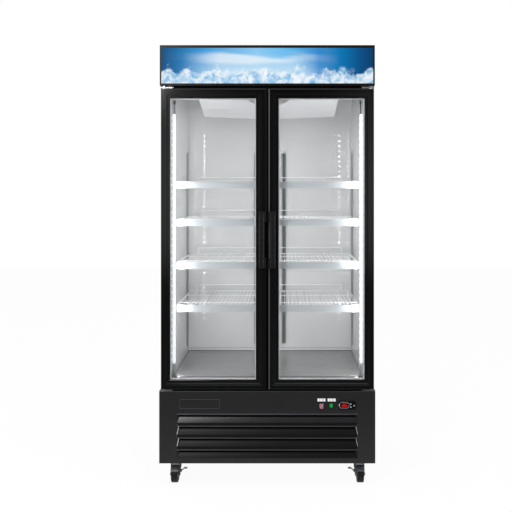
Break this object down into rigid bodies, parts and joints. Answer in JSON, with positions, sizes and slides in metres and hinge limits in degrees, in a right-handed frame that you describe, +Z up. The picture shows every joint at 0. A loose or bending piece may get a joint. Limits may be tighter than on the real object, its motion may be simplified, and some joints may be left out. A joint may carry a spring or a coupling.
{
  "type": "commercial refrigerator",
  "caption": "Upright glass-door merchandiser refrigerator with lit header, wire shelves, louvred machine panel and swivel casters.",
  "frame": {"origin": "On the floor, under the middle of the whole refrigerator.", "axes": "+Z up; the doors face -Y; +X is the viewer's right when facing the doors."},
  "size_m": [1, 0.71, 2.05],
  "materials": {
    "black_sheet": "powder coated, satin",
    "galvanised_sheet": "hot-dip galvanised",
    "foam": "foamed in place",
    "white_sheet": "pre-painted, satin",
    "zinc_plated_steel": "zinc plated",
    "coated_wire": "plastic dipped, satin",
    "rail_plastic": "extruded",
    "extruded_aluminium": "satin anodised",
    "fin_aluminium": "mill finish",
    "cast_metal": "as cast",
    "fan_plastic": "moulded",
    "picture_panel": "translucent print",
    "lamp_plastic": "frosted",
    "black_enamel": "gloss enamel",
    "copper": "drawn tube",
    "black_plastic": "moulded",
    "red_plastic": "translucent, moulded",
    "green_plastic": "translucent, moulded",
    "white_plastic": "plain",
    "pedal_steel": "painted",
    "anodised_black": "black anodised extrusion",
    "door_glass": "clear float, double glazed",
    "gasket_rubber": "soft extrusion",
    "black_rubber": "cable sheath",
    "wheel_rubber": "moulded"
  },
  "bodies": {
    "cabinet": {"side_panels": "black_sheet", "rear_panel": "galvanised_sheet", "roof_and_underside": "galvanised_sheet", "foam_insulation": "foam", "inner_liner": "white_sheet", "face_frame": "black_sheet", "floor_deck": "white_sheet", "center_mullion": "black_sheet", "shelf_pilasters": "white_sheet", "shelf_clips": "zinc_plated_steel", "left_shelves": "coated_wire", "right_shelves": "coated_wire", "ticket_rails": "rail_plastic", "led_strips": "extruded_aluminium", "led_leads": "black_rubber", "evaporator_cover": "white_sheet", "evaporator_coil": "fin_aluminium", "evaporator_fan_guard": "zinc_plated_steel", "fan_motors": "cast_metal", "canopy_housing": "black_sheet", "canopy_panel": "picture_panel", "canopy_lamp": "lamp_plastic", "base_tray": "galvanised_sheet", "front_panel": "black_sheet", "rear_grille": "black_sheet", "compressor": "black_enamel", "condenser_coil": "fin_aluminium", "refrigerant_pipes": "copper", "thermostat_case": "black_plastic", "switch_housings": "black_plastic", "blank_plates": "white_plastic", "hinge_brackets": "zinc_plated_steel", "caster_plates": "zinc_plated_steel", "screws_and_bolts": "zinc_plated_steel", "cable_gland": "black_plastic"},
    "left_door": {"left_door_frame": "anodised_black", "left_door_glass": "door_glass", "left_door_gasket": "gasket_rubber", "left_door_handle": "black_plastic"},
    "right_door": {"right_door_frame": "anodised_black", "right_door_glass": "door_glass", "right_door_gasket": "gasket_rubber", "right_door_handle": "black_plastic"},
    "power_switch": {"power_rocker": "red_plastic"},
    "light_switch": {"light_rocker": "green_plastic"},
    "up_button": {"thermostat_up_button": "black_plastic"},
    "down_button": {"thermostat_down_button": "black_plastic"},
    "set_button": {"thermostat_set_button": "black_plastic"},
    "evaporator_fan": {"evaporator_fan_blade": "fan_plastic"},
    "condenser_fan": {"condenser_fan_blade": "fan_plastic"},
    "pedal_left": {"brake_pedal_left": "pedal_steel"},
    "pedal_right": {"brake_pedal_right": "pedal_steel"},
    "fork_front_left": {"caster_fork_front_left": "zinc_plated_steel"},
    "wheel_front_left": {"caster_wheel_front_left": "wheel_rubber"},
    "fork_front_right": {"caster_fork_front_right": "zinc_plated_steel"},
    "wheel_front_right": {"caster_wheel_front_right": "wheel_rubber"},
    "fork_rear_left": {"caster_fork_rear_left": "zinc_plated_steel"},
    "wheel_rear_left": {"caster_wheel_rear_left": "wheel_rubber"},
    "fork_rear_right": {"caster_fork_rear_right": "zinc_plated_steel"},
    "wheel_rear_right": {"caster_wheel_rear_right": "wheel_rubber"}
  },
  "joints": [
    {"name": "left_door_hinge", "type": "hinge", "parent": "cabinet", "child": "left_door", "pos_m": [-0.48, -0.311, 1.151], "axis": [0, 0, -1], "range_deg": [0, 110]},
    {"name": "right_door_hinge", "type": "hinge", "parent": "cabinet", "child": "right_door", "pos_m": [0.48, -0.311, 1.151], "axis": [0, 0, 1], "range_deg": [0, 110]},
    {"name": "power_rocker_tilt", "type": "hinge", "parent": "cabinet", "child": "power_switch", "pos_m": [0.2507, -0.3315, 0.379], "axis": [1, 0, 0], "range_deg": [0, 14]},
    {"name": "light_rocker_tilt", "type": "hinge", "parent": "cabinet", "child": "light_switch", "pos_m": [0.2954, -0.3315, 0.382], "axis": [1, 0, 0], "range_deg": [0, 14]},
    {"name": "up_button_press", "type": "slide", "parent": "cabinet", "child": "up_button", "axis": [0, 1, 0], "range_m": [0, 0.0007], "stiffness_N_per_m": 1200},
    {"name": "down_button_press", "type": "slide", "parent": "cabinet", "child": "down_button", "axis": [0, 1, 0], "range_m": [0, 0.0007], "stiffness_N_per_m": 1200},
    {"name": "set_button_press", "type": "slide", "parent": "cabinet", "child": "set_button", "axis": [0, 1, 0], "range_m": [0, 0.0007], "stiffness_N_per_m": 1200},
    {"name": "evaporator_fan_spin", "type": "hinge", "parent": "cabinet", "child": "evaporator_fan", "pos_m": [0, -0.113, 1.82972], "axis": [0, 0.2252, 0.9743], "continuous": true},
    {"name": "condenser_fan_spin", "type": "hinge", "parent": "cabinet", "child": "condenser_fan", "pos_m": [0.2, -0.16, 0.2665], "axis": [0, 1, 0], "continuous": true},
    {"name": "swivel_front_left", "type": "hinge", "parent": "cabinet", "child": "fork_front_left", "pos_m": [-0.436, -0.237, 0.1], "axis": [0, 0, 1], "continuous": true},
    {"name": "roll_front_left", "type": "hinge", "parent": "fork_front_left", "child": "wheel_front_left", "pos_m": [-0.436, -0.261, 0.0375], "axis": [1, 0, 0], "continuous": true},
    {"name": "swivel_front_right", "type": "hinge", "parent": "cabinet", "child": "fork_front_right", "pos_m": [0.436, -0.237, 0.1], "axis": [0, 0, 1], "continuous": true},
    {"name": "roll_front_right", "type": "hinge", "parent": "fork_front_right", "child": "wheel_front_right", "pos_m": [0.436, -0.261, 0.0375], "axis": [1, 0, 0], "continuous": true},
    {"name": "swivel_rear_left", "type": "hinge", "parent": "cabinet", "child": "fork_rear_left", "pos_m": [-0.436, 0.285, 0.1], "axis": [0, 0, 1], "continuous": true},
    {"name": "roll_rear_left", "type": "hinge", "parent": "fork_rear_left", "child": "wheel_rear_left", "pos_m": [-0.436, 0.309, 0.0375], "axis": [1, 0, 0], "continuous": true},
    {"name": "swivel_rear_right", "type": "hinge", "parent": "cabinet", "child": "fork_rear_right", "pos_m": [0.436, 0.285, 0.1], "axis": [0, 0, 1], "continuous": true},
    {"name": "roll_rear_right", "type": "hinge", "parent": "fork_rear_right", "child": "wheel_rear_right", "pos_m": [0.436, 0.309, 0.0375], "axis": [1, 0, 0], "continuous": true},
    {"name": "brake_left", "type": "hinge", "parent": "fork_front_left", "child": "pedal_left", "pos_m": [-0.4085, -0.261, 0.053], "axis": [0, 1, 0], "range_deg": [0, 20]},
    {"name": "brake_right", "type": "hinge", "parent": "fork_front_right", "child": "pedal_right", "pos_m": [0.4085, -0.261, 0.053], "axis": [0, -1, 0], "range_deg": [0, 20]}
  ]
}
